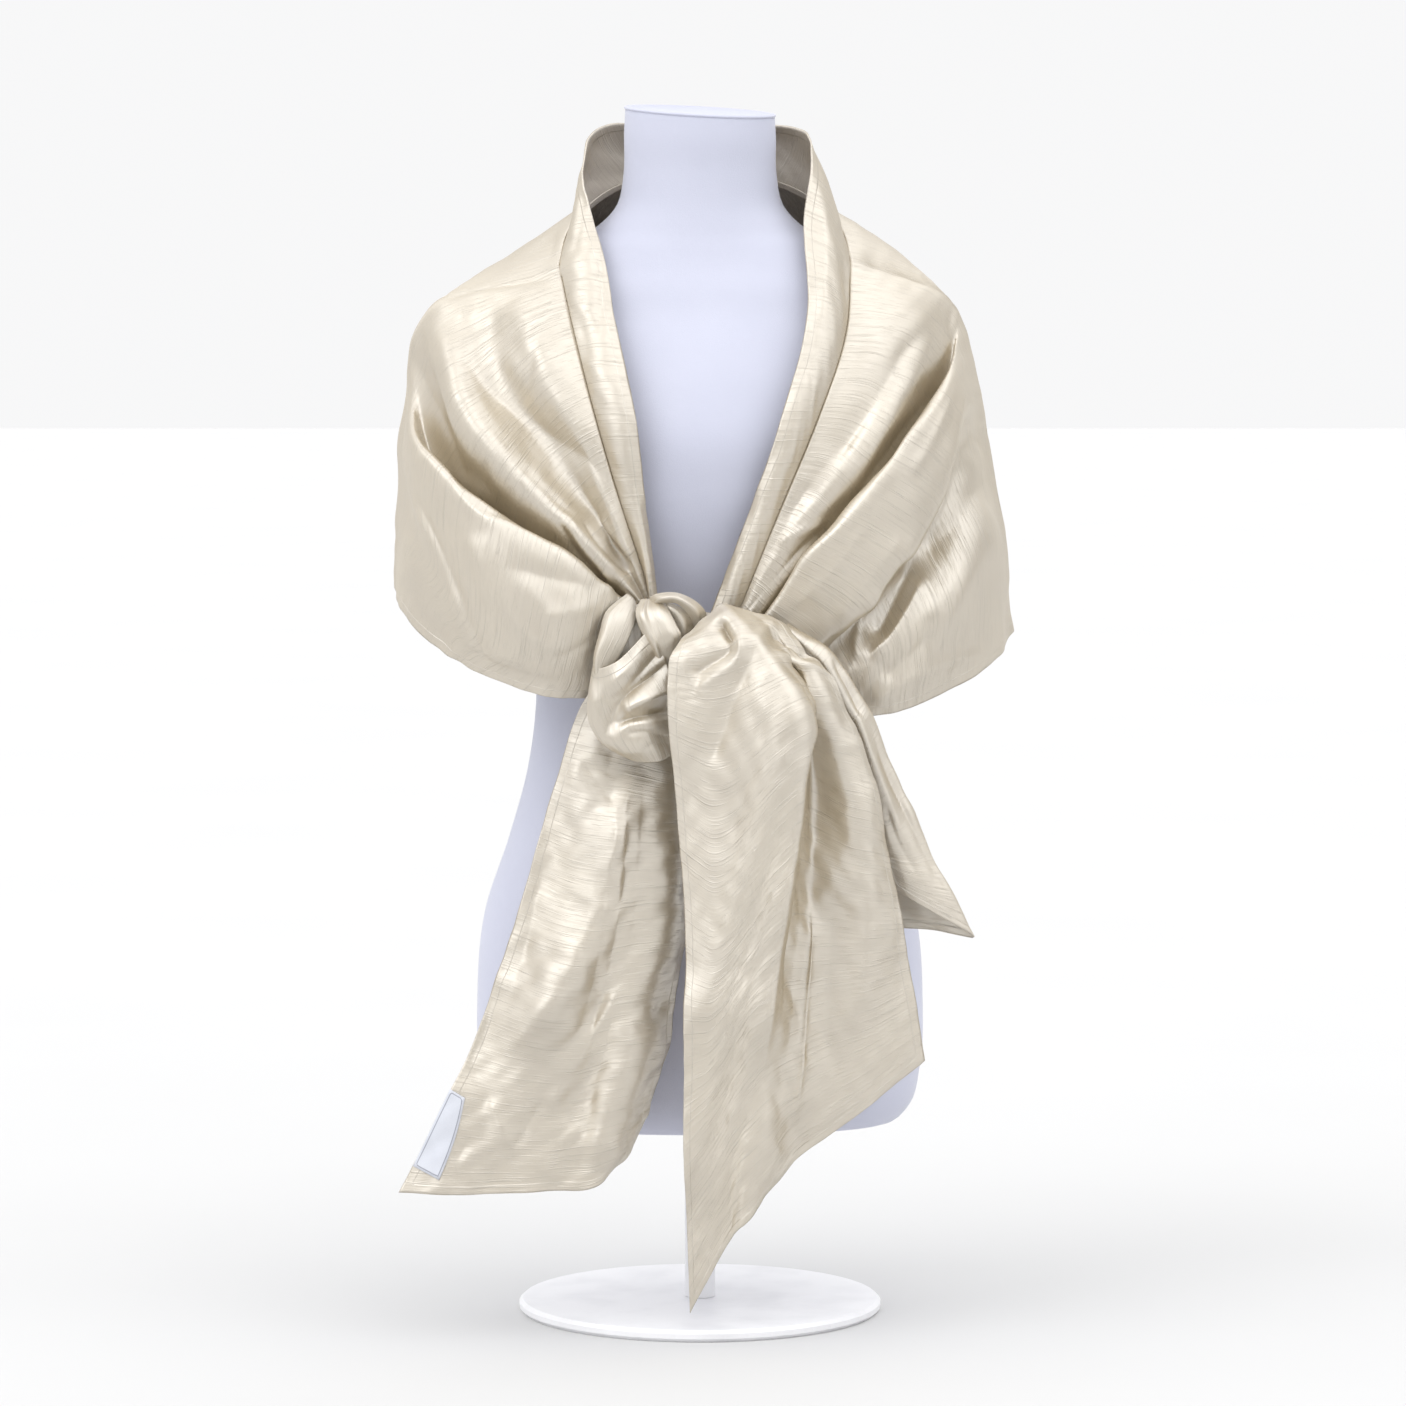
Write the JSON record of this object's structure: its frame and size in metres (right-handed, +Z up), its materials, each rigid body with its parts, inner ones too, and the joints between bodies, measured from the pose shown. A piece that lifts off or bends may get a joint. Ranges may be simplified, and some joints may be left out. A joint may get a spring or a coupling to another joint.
{
  "type": "evening stole on dress form",
  "caption": "Silk stole with a stand-up neck band, draped over the shoulders of a limbless dress form and tied in front in a one-loop bow with long pointed tails.",
  "frame": {"origin": "centre of the round base's underside, on the surface that the form stands on", "axes": "+Z up, -Y towards the front where the bow is tied, +X towards the right of a viewer who faces the bow"},
  "size_m": [0.5094, 0.3771, 0.9955],
  "materials": {
    "silk": "satin silk with crosswise slubs",
    "form_cover": "matt smooth jersey",
    "stand_paint": "satin paint",
    "label_tape": "matt woven tape"
  },
  "bodies": {
    "root": {"form_torso": "form_cover", "stand_pole": "stand_paint", "stand_base": "stand_paint", "wrap_left_front": "silk", "wrap_right_front": "silk", "wrap_back": "silk", "neck_band": "silk", "knot_core": "silk", "knot_strap_low": "silk", "knot_strap_top": "silk", "bow_loop": "silk", "tail_left": "silk", "tail_right": "silk", "tail_front": "silk", "sewn_label": "label_tape"}
  },
  "joints": []
}
